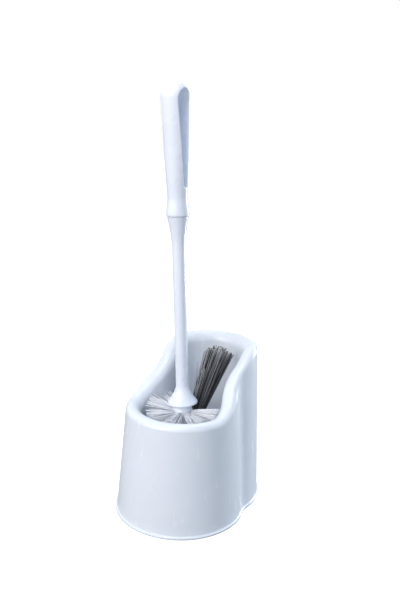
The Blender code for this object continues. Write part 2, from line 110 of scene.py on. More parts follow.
surround = bpy.data.worlds.new("surround")
surround.use_nodes = True
bpy.context.scene.world = surround
surround_nodes = surround.node_tree.nodes
surround_links = surround.node_tree.links
fill_light = surround_nodes["Background"]
fill_light.inputs["Color"].default_value = FILL_COLOUR
fill_light.inputs["Strength"].default_value = FILL_STRENGTH
white_sweep = surround_nodes.new("ShaderNodeBackground")
white_sweep.inputs["Color"].default_value = WHITE
white_sweep.inputs["Strength"].default_value = 1.0
seen_directly = surround_nodes.new("ShaderNodeLightPath")
either = surround_nodes.new("ShaderNodeMixShader")
mirrored_too = surround_nodes.new("ShaderNodeMath")
mirrored_too.operation = "MAXIMUM"
surround_links.new(seen_directly.outputs["Is Camera Ray"], mirrored_too.inputs[0])
surround_links.new(seen_directly.outputs["Is Glossy Ray"], mirrored_too.inputs[1])
surround_links.new(mirrored_too.outputs[0], either.inputs[0])
surround_links.new(fill_light.outputs[0], either.inputs[1])
surround_links.new(white_sweep.outputs[0], either.inputs[2])
surround_links.new(either.outputs[0], surround_nodes["World Output"].inputs["Surface"])

floor_mesh = bmesh.new()
bmesh.ops.create_grid(floor_mesh, x_segments=8, y_segments=8, size=FLOOR_SIZE)
floor_data = bpy.data.meshes.new("floor")
floor_mesh.to_mesh(floor_data)
floor_mesh.free()
floor = bpy.data.objects.new("floor", floor_data)
bpy.context.scene.collection.objects.link(floor)
floor_paint = bpy.data.materials.new("floor_paint")
floor_paint.use_nodes = True
floor_shader = floor_paint.node_tree.nodes["Principled BSDF"]
floor_shader.inputs["Base Color"].default_value = FLOOR_COLOUR
floor_shader.inputs["Roughness"].default_value = 0.9
floor_shader.inputs["Specular IOR Level"].default_value = 0.1
floor_shader.inputs["Emission Strength"].default_value = FLOOR_GLOW
floor_seen = floor_paint.node_tree.nodes.new("ShaderNodeLightPath")
floor_paint.node_tree.links.new(floor_seen.outputs["Is Camera Ray"],
                                floor_shader.inputs["Emission Color"])
floor_data.materials.append(floor_paint)

# ---- The holder --------------------------------------------------------------------------
# One injection moulding in bluish-white polypropylene: a drafted skirt on a small foot
# flange, a rim rolled over at the top, and the two-lobed cup that the brush stands in.  It
# is open underneath.  The rim swoops up from the front lobe to the tall back.
FRONT_RIM_HEIGHT = 0.1052
BACK_RIM_HEIGHT = 0.1526
RIM_ROLL_RADIUS = 0.0061
RIM_FLARE_WIDTH = 0.0088
RIM_FLARE_DEPTH = 0.0110
FRONT_FOOT_RADIUS = 0.0610556
REAR_FOOT_RADIUS = 0.0584805
LOBE_SPACING = 0.0385
WAIST_FILLET = 0.026
SKIRT_SLOPE = 0.077
CUP_SLOPE = 0.026
SHOULDER_START = -0.0167
SHOULDER_END = 0.0622
HOLDER_WALL = 0.0020
FRONT_CUP_RADIUS = 0.0385249
REAR_CUP_RADIUS = 0.0323
CUP_FLOOR_HEIGHT = 0.0060
CUP_FLOOR_FILLET = 0.0080
FOOT_SECTION = ((-0.0012, 0.0), (-0.0015, 0.0003), (-0.0015, 0.0018), (-0.0013, 0.0022),
                (-0.0009, 0.0024), (-0.0004, 0.00255), (-0.0001, 0.0029), (0.0, 0.0036))
ARC_STEPS = (84, 22, 72)
SKIRT_ROWS = 14
ROLL_STEPS = 28
CUP_WALL_ROWS = 16
FILLET_STEPS = 8
FLOOR_SHARES = (0.85, 0.6, 0.35, 0.15)
FLOW_MARKS_PER_METRE = 28.0
ORANGE_PEEL_PER_METRE = 420.0
GRAIN_PER_METRE = 2600.0
SCUFFS_PER_METRE = 240.0
SCUFF_STRETCH = (1.0, 1.0, 0.12)
ORANGE_PEEL_DEPTH = 0.00005
HOLDER_PALE = (0.83, 0.88, 0.965)
HOLDER_DEEP = (0.81, 0.865, 0.955)
ROLL_FRONT = FRONT_RIM_HEIGHT - RIM_ROLL_RADIUS
ROLL_BACK = BACK_RIM_HEIGHT - RIM_ROLL_RADIUS
STATIONS = 2 * sum(ARC_STEPS)


def lobed_point(station, front_radius, rear_radius, spacing, fillet):
    """One point of the plan outline: front lobe, concave waist, rear lobe and back round."""
    side = 1.0 if station <= STATIONS // 2 else -1.0
    step = station if side > 0 else STATIONS - station
    reach_front = front_radius + fillet
    reach_rear = rear_radius + fillet
    along = (spacing ** 2 + reach_front ** 2 - reach_rear ** 2) / (2 * spacing)
    across = math.sqrt(reach_front ** 2 - along ** 2)
    front_end = math.atan2(along, across)
    rear_start = math.atan2(along - spacing, across)
    if step <= ARC_STEPS[0]:
        angle = -math.pi / 2 + (front_end + math.pi / 2) * step / ARC_STEPS[0]
        x, y = front_radius * math.cos(angle), front_radius * math.sin(angle)
    elif step <= ARC_STEPS[0] + ARC_STEPS[1]:
        share = (step - ARC_STEPS[0]) / ARC_STEPS[1]
        angle = math.pi + front_end + (rear_start - front_end) * share
        x, y = across + fillet * math.cos(angle), along + fillet * math.sin(angle)
    else:
        share = (step - ARC_STEPS[0] - ARC_STEPS[1]) / ARC_STEPS[2]
        angle = rear_start + (math.pi / 2 - rear_start) * share
        x, y = rear_radius * math.cos(angle), spacing + rear_radius * math.sin(angle)
    return Vector((side * x, y + FRONT_LOBE_Y, 0.0))


def skin_point(station, level, inset, height):
    """A point set in from the outside of the skirt as it is at one level."""
    point = lobed_point(station, FRONT_FOOT_RADIUS - SKIRT_SLOPE * level - inset,
                        REAR_FOOT_RADIUS - SKIRT_SLOPE * level - inset,
                        LOBE_SPACING + SKIRT_SLOPE * level, WAIST_FILLET + inset)
    point.z = height
    return point


def cup_point(station, inset, height):
    """A point set in from the foot of the cup wall."""
    point = lobed_point(station,
                        FRONT_CUP_RADIUS - CUP_SLOPE * (ROLL_FRONT - CUP_FLOOR_HEIGHT) - inset,
                        REAR_CUP_RADIUS - CUP_SLOPE * (ROLL_BACK - CUP_FLOOR_HEIGHT) - inset,
                        LOBE_SPACING + SKIRT_SLOPE * ROLL_BACK,
                        WAIST_FILLET + RIM_ROLL_RADIUS + RIM_FLARE_WIDTH + inset)
    point.z = height
    return point


def eased(share):
    """Rise smoothly from 0 to 1."""
    share = min(max(share, 0.0), 1.0)
    return share * share * (3 - 2 * share)


def roll_height(station):
    """Height of the rolled rim's centre, which swoops up from the front to the back."""
    place = skin_point(station, (ROLL_FRONT + ROLL_BACK) / 2, RIM_ROLL_RADIUS, 0.0).y
    climb = eased((place - FRONT_LOBE_Y - SHOULDER_START) / (SHOULDER_END - SHOULDER_START))
    return ROLL_FRONT + (ROLL_BACK - ROLL_FRONT) * climb


roll_heights = [roll_height(s) for s in range(STATIONS)]


def roll_rows(wall, steps):
    """Rows over the rim: a tight quarter round up from the skirt, then a wide flare inwards."""
    rows = []
    for step in range(steps + 1):
        angle = math.pi * step / steps
        width, depth = RIM_ROLL_RADIUS, RIM_ROLL_RADIUS
        if 2 * step > steps:
            width, depth = RIM_FLARE_WIDTH, RIM_FLARE_DEPTH
        inset = RIM_ROLL_RADIUS - (width - wall) * math.cos(angle)
        rise = RIM_ROLL_RADIUS - depth + (depth - wall) * math.sin(angle)
        rows.append([skin_point(s, roll_heights[s], inset, roll_heights[s] + rise)
                     for s in range(STATIONS)])
    return rows


def cup_rows(wall, steps):
    """Rows round the foot of the cup wall, from the wall to the floor."""
    radius = CUP_FLOOR_FILLET + wall
    rows = []
    for step in range(steps + 1):
        angle = math.pi / 2 * step / steps
        height = CUP_FLOOR_HEIGHT - wall + radius * (1 - math.sin(angle))
        rows.append([cup_point(s, radius * (1 - math.cos(angle)) - wall, height)
                     for s in range(STATIONS)])
    return rows


def between(first, last, steps):
    """Rows that run evenly from one row to another, without either."""
    return [[a.lerp(b, step / steps) for a, b in zip(first, last)]
            for step in range(1, steps)]


def floor_rows(edge):
    """Rows that close in on the middle of the cup's floor."""
    middle = Vector((0.0, 0.0, edge[0].z))
    return [[middle.lerp(point, share) for point in edge] for share in FLOOR_SHARES]


skirt_top = [skin_point(s, roll_heights[s], 0.0, roll_heights[s]) for s in range(STATIONS)]
foot_rows = [[skin_point(s, height, inset, height) for s in range(STATIONS)]
             for inset, height in FOOT_SECTION]
roll = roll_rows(0.0, ROLL_STEPS)
cup_foot = cup_rows(0.0, FILLET_STEPS)
shown_rows = foot_rows + between(foot_rows[-1], skirt_top, SKIRT_ROWS) + roll
shown_rows += between(roll[-1], cup_foot[0], CUP_WALL_ROWS) + cup_foot
shown_rows += floor_rows(cup_foot[-1])
hidden_start = [skin_point(s, 0.0, HOLDER_WALL, 0.0) for s in range(STATIONS)]
hidden_roll = roll_rows(HOLDER_WALL, ROLL_STEPS // 2)
hidden_foot = cup_rows(HOLDER_WALL, FILLET_STEPS)
hidden_rows = [hidden_start] + between(hidden_start, hidden_roll[0], SKIRT_ROWS) + hidden_roll
hidden_rows += between(hidden_roll[-1], hidden_foot[0], CUP_WALL_ROWS) + hidden_foot
hidden_rows += floor_rows(hidden_foot[-1])

holder_shape = bmesh.new()
chain = [[holder_shape.verts.new(point) for point in row]
         for row in list(reversed(hidden_rows)) + shown_rows]
for lower, upper in zip(chain, chain[1:]):
    for s in range(STATIONS):
        n = (s + 1) % STATIONS
        holder_shape.faces.new((lower[s], lower[n], upper[n], upper[s]))
for row in (chain[0], chain[-1]):
    middle = holder_shape.verts.new((0.0, 0.0, row[0].co.z))
    for s in range(STATIONS):
        holder_shape.faces.new((row[s], row[(s + 1) % STATIONS], middle))


class Wire:
    """One value, colour or vector on its way through a finish's nodes."""

    def __init__(self, finish, socket):
        self.finish = finish
        self.socket = socket

    def worked(self, operation, first, second):
        return self.finish.node("ShaderNodeMath", {"operation": operation},
                                {0: first, 1: second})

    def __add__(self, other):
        return self.worked("ADD", self, other)

    def __radd__(self, other):
        return self.worked("ADD", other, self)

    def __mul__(self, other):
        return self.worked("MULTIPLY", self, other)

    def __rmul__(self, other):
        return self.worked("MULTIPLY", other, self)


class Finish:
    """A procedural finish: one Principled shader and the nodes that vary it."""

    def __init__(self, name, **sockets):
        self.material = bpy.data.materials.new(name)
        self.material.use_nodes = True
        self.tree = self.material.node_tree
        self.shader = self.tree.nodes["Principled BSDF"]
        for socket, value in sockets.items():
            self.shader.inputs[socket.replace("_", " ")].default_value = value

    def node(self, kind, settings=None, values=None, output=0):
        """Add a node, set it up, and return one of its outputs."""
        made = self.tree.nodes.new(kind)
        for setting, value in (settings or {}).items():
            setattr(made, setting, value)
        for socket, value in (values or {}).items():
            if isinstance(value, Wire):
                self.tree.links.new(value.socket, made.inputs[socket])
            else:
                made.inputs[socket].default_value = value
        return Wire(self, made.outputs[output])

    def noise(self, scale, detail, stretch=None):
        """Soft noise in the object's own metres, from 0 to 1."""
        place = self.node("ShaderNodeTexCoord", output="Object")
        if stretch:
            place = self.node("ShaderNodeVectorMath", {"operation": "MULTIPLY"},
                              {0: place, 1: stretch})
        return self.node("ShaderNodeTexNoise", None,
                         {"Vector": place, "Scale": scale, "Detail": detail})

    def blend(self, share, first, second):
        """One colour turning into another."""
        return self.node("ShaderNodeMix", {"data_type": "RGBA"},
                         {"Factor": share, "A": first, "B": second}, output="Result")

    def step(self, value, low, high):
        """0 below one value, 1 above another, and a smooth rise between them."""
        return self.node("ShaderNodeMapRange", {"interpolation_type": "SMOOTHSTEP"},
                         {"Value": value, "From Min": low, "From Max": high})

    def drive(self, socket, wire):
        """Lead what varies over the surface to the shader."""
        self.tree.links.new(wire.socket, self.shader.inputs[socket])

    def relief(self, height, depth):
        """Raise the surface by a height from 0 to 1, times a depth in metres."""
        bump = self.node("ShaderNodeBump", None,
                         {"Height": height, "Distance": depth, "Strength": 1.0},
                         output="Normal")
        self.drive("Normal", bump)


def moulded_finish(name, pale, deep, gloss, subsurface):
    """Moulded plastic: cloudy flow marks, a faint orange peel and hair-fine handling scuffs."""
    finish = Finish(name, Coat_Weight=0.12, Coat_Roughness=0.12, IOR=1.49,
                    Subsurface_Weight=subsurface, Subsurface_Scale=0.006)
    finish.shader.inputs["Subsurface Radius"].default_value = (0.9, 0.95, 1.0)
    flow_marks = finish.noise(FLOW_MARKS_PER_METRE, 3.0)
    orange_peel = finish.noise(ORANGE_PEEL_PER_METRE, 1.0)
    grain = finish.noise(GRAIN_PER_METRE, 1.0)
    scuffs = finish.step(finish.noise(SCUFFS_PER_METRE, 4.0, SCUFF_STRETCH), 0.60, 0.72)
    paleness = finish.step(flow_marks, 0.3, 0.7)
    finish.drive("Base Color", finish.blend(paleness, (*deep, 1.0), (*pale, 1.0)))
    finish.drive("Roughness", gloss + 0.07 * flow_marks + 0.05 * scuffs)
    finish.relief(0.7 * orange_peel + 0.3 * grain, ORANGE_PEEL_DEPTH)
    return finish


def add_piece(name, mesh, finish, body, nodes):
    """Stand a finished mesh in the scene: its finish, its body and the nodes it stands for."""
    item = bpy.data.objects.new(name, mesh)
    bpy.context.scene.collection.objects.link(item)
    mesh.materials.append(finish.material)
    mesh.shade_smooth()
    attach(item, body)
    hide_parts(*nodes)


def as_mesh(name, shape):
    """A mesh from a closed bmesh, faces outwards."""
    bmesh.ops.recalc_face_normals(shape, faces=shape.faces)
    mesh = bpy.data.meshes.new(name)
    shape.to_mesh(mesh)
    shape.free()
    return mesh


holder_finish = moulded_finish("holder_plastic", HOLDER_PALE, HOLDER_DEEP, 0.22, 0.30)
add_piece("holder_moulding", as_mesh("holder_moulding", holder_shape), holder_finish,
          "holder", ["holder_shell"])

# ---- The stem ----------------------------------------------------------------------------
# A slim moulded rod.  At its foot a drip cone sheds water back into the cup, and a spigot
# below it holds the head; at its top it flares into a round head with a tang for the grip.
BRUSH_LEAN = math.radians(2.75)
BRUSH_LEAN_TOWARDS = math.radians(209.7)
BRUSH_TURN = math.radians(-12.5)
FIT_GAP = 0.0003
CROWN_CENTRE_RADIUS = 0.0060
CONE_HEIGHT = 0.1002
SPIGOT_RADIUS = 0.0040
SPIGOT_LENGTH = 0.0180
DRIP_CONE_RADIUS = 0.0139
DRIP_CONE_HEIGHT = 0.0170
DRIP_CONE_EDGE = 0.0012
CONE_CURVE = 1.6
STEM_RADIUS = 0.0058
STEM_LENGTH = 0.1752
STEM_HEAD_RADIUS = 0.0097
STEM_HEAD_HEIGHT = 0.0320
HEAD_CURVE = 1.9
TANG_RADIUS = 0.0045
TANG_LENGTH = 0.0190
EDGE_RADIUS = 0.0004
CURVE_STEPS = 24
ROUND_STEPS = 112
SAME_POINT = 1e-6
HANDLE_PALE = (0.84, 0.875, 0.965)
HANDLE_DEEP = (0.82, 0.86, 0.955)
STEM_TOP = CONE_HEIGHT + STEM_LENGTH

lean_way = Vector((math.cos(BRUSH_LEAN_TOWARDS), math.sin(BRUSH_LEAN_TOWARDS), 0.0))
brush_foot = Vector((0.0, FRONT_LOBE_Y, CUP_FLOOR_HEIGHT + FIT_GAP))
brush_foot -= lean_way * CONE_HEIGHT * math.tan(BRUSH_LEAN)
brush_foot.z += CROWN_CENTRE_RADIUS * math.sin(BRUSH_LEAN)
BRUSH = (Matrix.Translation(brush_foot)
         @ Matrix.Rotation(BRUSH_LEAN, 4, Vector((-lean_way.y, lean_way.x, 0.0)))
         @ Matrix.Rotation(BRUSH_TURN, 4, "Z"))


def turned(profile):
    """Spin a profile of (radius, height) points about the brush's axis."""
    shape = bmesh.new()
    points = [shape.verts.new((radius, 0.0, height)) for radius, height in profile]
    edges = [shape.edges.new(pair) for pair in zip(points, points[1:])]
    bmesh.ops.spin(shape, geom=points + edges, cent=(0, 0, 0), axis=(0, 0, 1),
                   angle=math.tau, steps=ROUND_STEPS, use_merge=True)
    bmesh.ops.remove_doubles(shape, verts=shape.verts, dist=SAME_POINT)
    return shape


def quarter(centre, radius, start, steps=6):
    """Points round a quarter circle of a profile, from a start angle in degrees."""
    angles = [math.radians(start + 90 * k / steps) for k in range(steps + 1)]
    return [(centre[0] + radius * math.cos(a), centre[1] + radius * math.sin(a)) for a in angles]


stem_profile = [(0.0, CONE_HEIGHT - SPIGOT_LENGTH), (SPIGOT_RADIUS, CONE_HEIGHT - SPIGOT_LENGTH),
                (SPIGOT_RADIUS, CONE_HEIGHT), (SPIGOT_RADIUS + EDGE_RADIUS, CONE_HEIGHT)]
stem_profile += quarter((DRIP_CONE_RADIUS - EDGE_RADIUS, CONE_HEIGHT + EDGE_RADIUS),
                        EDGE_RADIUS, -90)
for step in range(CURVE_STEPS + 1):
    share = step / CURVE_STEPS
    rise = DRIP_CONE_EDGE + (DRIP_CONE_HEIGHT - DRIP_CONE_EDGE) * share
    radius = STEM_RADIUS + (DRIP_CONE_RADIUS - STEM_RADIUS) * (1 - share) ** CONE_CURVE
    stem_profile.append((radius, CONE_HEIGHT + rise))
rod_start, rod_end = CONE_HEIGHT + DRIP_CONE_HEIGHT, STEM_TOP - STEM_HEAD_HEIGHT
stem_profile += [(STEM_RADIUS, rod_start + (rod_end - rod_start) * step / CURVE_STEPS)
                 for step in range(1, CURVE_STEPS)]
for step in range(CURVE_STEPS + 1):
    share = step / CURVE_STEPS
    radius = STEM_RADIUS + (STEM_HEAD_RADIUS - STEM_RADIUS) * share ** HEAD_CURVE
    stem_profile.append((radius, rod_end + (STEM_HEAD_HEIGHT - EDGE_RADIUS) * share))
stem_profile += quarter((STEM_HEAD_RADIUS - EDGE_RADIUS, STEM_TOP - EDGE_RADIUS),
                        EDGE_RADIUS, 0)[1:]
stem_profile += [(TANG_RADIUS, STEM_TOP), (TANG_RADIUS, STEM_TOP + TANG_LENGTH),
                 (0.0, STEM_TOP + TANG_LENGTH)]
stem_mesh = as_mesh("stem_rod", turned(stem_profile))
stem_mesh.transform(BRUSH)
handle_finish = moulded_finish("handle_plastic", HANDLE_PALE, HANDLE_DEEP, 0.24, 0.20)
add_piece("stem_rod", stem_mesh, handle_finish, "brush", ["stem"])

# ---- The grip ----------------------------------------------------------------------------
# A hollowed handle in the same plastic, pressed over the stem's tang.  It swells towards
# its domed top, and a long round-ended trough is sunk in one side, with a soft lip.
GRIP_LENGTH = 0.1130
GRIP_COLLAR_RADIUS = 0.0104
GRIP_NECK_RADIUS = 0.0089
GRIP_NECK_HEIGHT = 0.0170
GRIP_TOP_RADIUS = 0.0127
TROUGH_BOTTOM = 0.0250
TROUGH_TOP_WALL = 0.0056
TROUGH_TOP_HALF_WIDTH = 0.0092
TROUGH_BOTTOM_HALF_WIDTH = 0.0028
TROUGH_BACK_WALL = 0.0026
TROUGH_TURN = math.radians(12.5)
GRIP_STEPS = 48
TROUGH_STEPS = 16
GRIP_VOXEL = 0.00036
GRIP_BASE = STEM_TOP + FIT_GAP


def grip_radius(rise):
    """Outside radius of the grip at a height above its foot."""
    if rise <= GRIP_NECK_HEIGHT:
        share = eased(rise / GRIP_NECK_HEIGHT)
        return GRIP_COLLAR_RADIUS + (GRIP_NECK_RADIUS - GRIP_COLLAR_RADIUS) * share
    share = (rise - GRIP_NECK_HEIGHT) / (GRIP_LENGTH - GRIP_TOP_RADIUS - GRIP_NECK_HEIGHT)
    return GRIP_NECK_RADIUS + (GRIP_TOP_RADIUS - GRIP_NECK_RADIUS) * min(share, 1.0)


def trough_row(rise):
    """The trough's section at a height: straight sides in from the air, then a round back."""
    arch_start = GRIP_LENGTH - TROUGH_TOP_WALL - TROUGH_TOP_HALF_WIDTH
    share = min((rise - TROUGH_BOTTOM) / (arch_start - TROUGH_BOTTOM), 1.0)
    width = TROUGH_BOTTOM_HALF_WIDTH + (TROUGH_TOP_HALF_WIDTH - TROUGH_BOTTOM_HALF_WIDTH) * share
    over = max(0.0, (rise - arch_start) / TROUGH_TOP_HALF_WIDTH)
    narrow = math.sqrt(max(1 - over ** 2, 1e-4))
    depth = (grip_radius(rise) - TROUGH_BACK_WALL) * narrow
    outside = GRIP_TOP_RADIUS + TROUGH_BACK_WALL
    angles = [math.radians(a) for a in range(-90, 91, 6)]
    section = [(-depth * math.cos(a), width * narrow * math.sin(a)) for a in angles]
    section = [(outside, -width * narrow)] + section + [(outside, width * narrow)]
    return [(x, y, GRIP_BASE + rise) for x, y in section]


def lofted(rows):
    """A closed solid through rows of points, with a flat cap at each end."""
    shape = bmesh.new()
    rings = [[shape.verts.new(point) for point in row] for row in rows]
    for lower, upper in zip(rings, rings[1:]):
        for k in range(len(lower)):
            n = (k + 1) % len(lower)
            shape.faces.new((lower[k], lower[n], upper[n], upper[k]))
    shape.faces.new(rings[0])
    shape.faces.new(rings[-1])
    return shape


def melted(name, shape, cutter, voxel, passes):
    """Cut a shape, then melt it into one skin whose edges are soft, as a mould leaves them."""
    blank = bpy.data.objects.new(name, as_mesh(name, shape))
    bpy.context.scene.collection.objects.link(blank)
    made = [blank]
    if cutter:
        tool = bpy.data.objects.new(name + "_cutter", as_mesh(name + "_cutter", cutter))
        bpy.context.scene.collection.objects.link(tool)
        made.append(tool)
        cut = blank.modifiers.new("cut", "BOOLEAN")
        cut.operation, cut.solver, cut.object = "DIFFERENCE", "EXACT", tool
    melt = blank.modifiers.new("melt", "REMESH")
    melt.mode, melt.voxel_size = "VOXEL", voxel
    soften = blank.modifiers.new("soften", "SMOOTH")
    soften.factor, soften.iterations = 0.5, passes
    settled = blank.evaluated_get(bpy.context.evaluated_depsgraph_get())
    mesh = bpy.data.meshes.new_from_object(settled)
    for item in made:
        bpy.data.objects.remove(item)
    return mesh


grip_bore = TANG_RADIUS + FIT_GAP
shoulder = GRIP_LENGTH - GRIP_TOP_RADIUS
grip_profile = [(0.0, GRIP_BASE + TANG_LENGTH), (grip_bore, GRIP_BASE + TANG_LENGTH),
                (grip_bore, GRIP_BASE)]
for step in range(GRIP_STEPS + 1):
    rise = shoulder * step / GRIP_STEPS
    grip_profile.append((grip_radius(rise), GRIP_BASE + rise))
grip_profile += quarter((0.0, GRIP_BASE + shoulder), GRIP_TOP_RADIUS, 0, 18)[1:]
arch_foot = GRIP_LENGTH - TROUGH_TOP_WALL - TROUGH_TOP_HALF_WIDTH
trough_rises = [TROUGH_BOTTOM + (arch_foot - TROUGH_BOTTOM) * step / TROUGH_STEPS
                for step in range(TROUGH_STEPS + 1)]
trough_rises += [arch_foot + TROUGH_TOP_HALF_WIDTH * math.sin(math.radians(a))
                 for a in range(8, 89, 8)]
trough = lofted([trough_row(rise) for rise in trough_rises])
bmesh.ops.rotate(trough, verts=trough.verts, matrix=Matrix.Rotation(TROUGH_TURN, 3, "Z"))
grip_mesh = melted("grip_handle", turned(grip_profile), trough, GRIP_VOXEL, 8)
grip_mesh.transform(BRUSH)
add_piece("grip_handle", grip_mesh, handle_finish, "brush", ["grip"])

# ---- The head's core and its arm ---------------------------------------------------------
# A moulded post under the drip cone, with a stubby arm on its upper side that carries the rim
# cleaner; the holes for the tufts all round it are not cut.  Little of it shows between the
# bristles.
CORE_RADIUS = 0.0090
CORE_NECK_RADIUS = 0.0080
CORE_NECK_LENGTH = 0.0045
CORE_WALL = 0.0012
CORE_DOME_CENTRE = 0.0332
ARM_WIDTH = 0.0080
ARM_HEIGHT = 0.0060
ARM_TOP = CONE_HEIGHT - 0.0172
ARM_END = 0.0335
ARM_NOSE_ROUND = 0.45
CORE_VOXEL = 0.00045

core_top = CONE_HEIGHT - FIT_GAP
core_bore = SPIGOT_RADIUS + FIT_GAP
core_profile = [(0.0, core_top - SPIGOT_LENGTH - FIT_GAP),
                (core_bore, core_top - SPIGOT_LENGTH - FIT_GAP), (core_bore, core_top),
                (CORE_NECK_RADIUS, core_top), (CORE_NECK_RADIUS, core_top - CORE_NECK_LENGTH),
                (CORE_RADIUS, core_top - CORE_NECK_LENGTH - CORE_WALL)]
core_profile += [(CORE_RADIUS * math.cos(math.radians(a)),
                  CORE_DOME_CENTRE - CORE_RADIUS * math.sin(math.radians(a)))
                 for a in range(0, 91, 6)]
core_shape = turned(core_profile)
arm_start = CORE_RADIUS - CORE_WALL
arm = bmesh.ops.create_cube(core_shape, size=1.0)["verts"]
bmesh.ops.scale(core_shape, verts=arm, vec=(ARM_WIDTH, ARM_END - arm_start, ARM_HEIGHT))
bmesh.ops.translate(core_shape, verts=arm,
                    vec=(0.0, (ARM_END + arm_start) / 2, ARM_TOP - ARM_HEIGHT / 2))
nose = [edge for edge in core_shape.edges
        if all(v in arm and v.co.y > ARM_END - FIT_GAP for v in edge.verts)
        and abs(edge.verts[0].co.z - edge.verts[1].co.z) > FIT_GAP]
bmesh.ops.bevel(core_shape, geom=nose, offset=ARM_NOSE_ROUND * ARM_WIDTH, segments=8,
                affect="EDGES", profile=0.5)
core_mesh = melted("head_post", core_shape, None, CORE_VOXEL, 4)
core_mesh.transform(BRUSH)
add_piece("head_post", core_mesh, handle_finish, "brush", ["head_core"])

# ---- The white bristles ------------------------------------------------------------------
# Stiff white nylon, folded into tufts and stapled into the post in five staggered rings of
# eight, less the one under the arm and the two beside it.  The tips are trimmed to a round
# head, and use has splayed the fans a little.
HEAD_RADIUS = 0.0350
HEAD_TAPER = (0.0070, 0.0025, 0.0015, 0.0005, 0.0)
TUFTS_PER_RING = 8
RING_PITCH = 0.0133
LOWEST_RING_HEIGHT = 0.0375
LOWEST_RING_DIP = math.radians(20)
TUFT_SEAT = 0.0035
TUFT_RISE = 0.37
FAN_SPREAD = 0.78
TIP_SCATTER_ACROSS = 0.0009
TIP_SCATTER_ALONG = 0.0008
TIP_OVERSHOOT = 0.0008
TIP_RAGGEDNESS = 0.0011
WORN_LIFT = {2: 0.0060, 3: 0.0090, 4: 0.0020}
FIBRES_PER_TUFT = 52
FIBRE_RADIUS = 0.00030
FIBRE_ROOT_SPREAD = 0.0015
FIBRE_BOW = 0.0010
FIBRE_TIP_TAPER = 0.25
FIBRE_SIDES = 5
FIBRE_STEPS = 6
chance = np.random.default_rng(7)


def seat_frame(angle, radius, height, dip):
    """A tuft's own frame: +Z out of the post, dipping below level, +Y upwards."""
    out = Vector((math.cos(angle) * math.cos(dip), math.sin(angle) * math.cos(dip),
                  -math.sin(dip)))
    turn = out.to_track_quat("Z", "Y").to_matrix().to_4x4()
    return Matrix.Translation(Vector((0.0, 0.0, height)) + out * radius) @ turn


def grow_fibres(seat, roots, tips, radius, bow, shade):
    """Bent fibres from roots to tips in a seat's frame: points of rings, reach and shade."""
    count = len(roots)
    share = np.linspace(0.0, 1.0, FIBRE_STEPS + 1)[None, :, None]
    lines = roots[:, None, :] * (1 - share) + tips[:, None, :] * share
    swing = chance.uniform(0.0, math.tau, count)
    amount = chance.normal(0.0, bow, count)
    bend = np.stack([np.cos(swing) * amount, np.sin(swing) * amount, 0.0 * amount], axis=1)
    lines = lines + bend[:, None, :] * 4 * share * (1 - share)
    around = np.arange(FIBRE_SIDES) * math.tau / FIBRE_SIDES
    ring = np.stack([np.cos(around), np.sin(around), 0.0 * around], axis=1)
    taper = radius * (1 - FIBRE_TIP_TAPER * share[0, :, 0] ** 3)
    points = lines[:, :, None, :] + ring[None, None, :, :] * taper[None, :, None, None]
    matrix = np.array(BRUSH @ seat)
    points = points.reshape(-1, 3) @ matrix[:3, :3].T + matrix[:3, 3]
    reach = np.broadcast_to(share, (count, FIBRE_STEPS + 1, FIBRE_SIDES)).reshape(-1)
    tone = np.repeat(shade, (FIBRE_STEPS + 1) * FIBRE_SIDES)
    return points, reach, tone


def fibre_mesh(name, batches):
    """One mesh of closed fibres from grown batches, with each point's reach and shade."""
    points = np.concatenate([batch[0] for batch in batches])
    reach = np.concatenate([batch[1] for batch in batches])
    tone = np.concatenate([batch[2] for batch in batches])
    per_fibre = (FIBRE_STEPS + 1) * FIBRE_SIDES
    faces = []
    for start in range(0, len(points), per_fibre):
        for step in range(FIBRE_STEPS):
            low = start + step * FIBRE_SIDES
            for k in range(FIBRE_SIDES):
                n = (k + 1) % FIBRE_SIDES
                faces.append((low + k, low + n, low + n + FIBRE_SIDES, low + k + FIBRE_SIDES))
        faces.append(tuple(start + k for k in reversed(range(FIBRE_SIDES))))
        faces.append(tuple(start + FIBRE_STEPS * FIBRE_SIDES + k for k in range(FIBRE_SIDES)))
    mesh = bpy.data.meshes.new(name)
    mesh.from_pydata(points.tolist(), [], faces)
    for label, values in (("fibre_reach", reach), ("fibre_shade", tone)):
        mesh.attributes.new(label, "FLOAT", "POINT").data.foreach_set(
            "value", values.astype(np.float32))
    return mesh


def disc_points(count):
    """Evenly packed points of a unit disc, with a little disorder."""
    k = np.arange(count) + 0.5
    radius = np.sqrt(k / count)
    angle = k * math.pi * (3 - math.sqrt(5)) + chance.uniform(0, math.tau)
    points = np.stack([radius * np.cos(angle), radius * np.sin(angle)], axis=1)
    return points + chance.normal(0.0, 0.06, (count, 2))


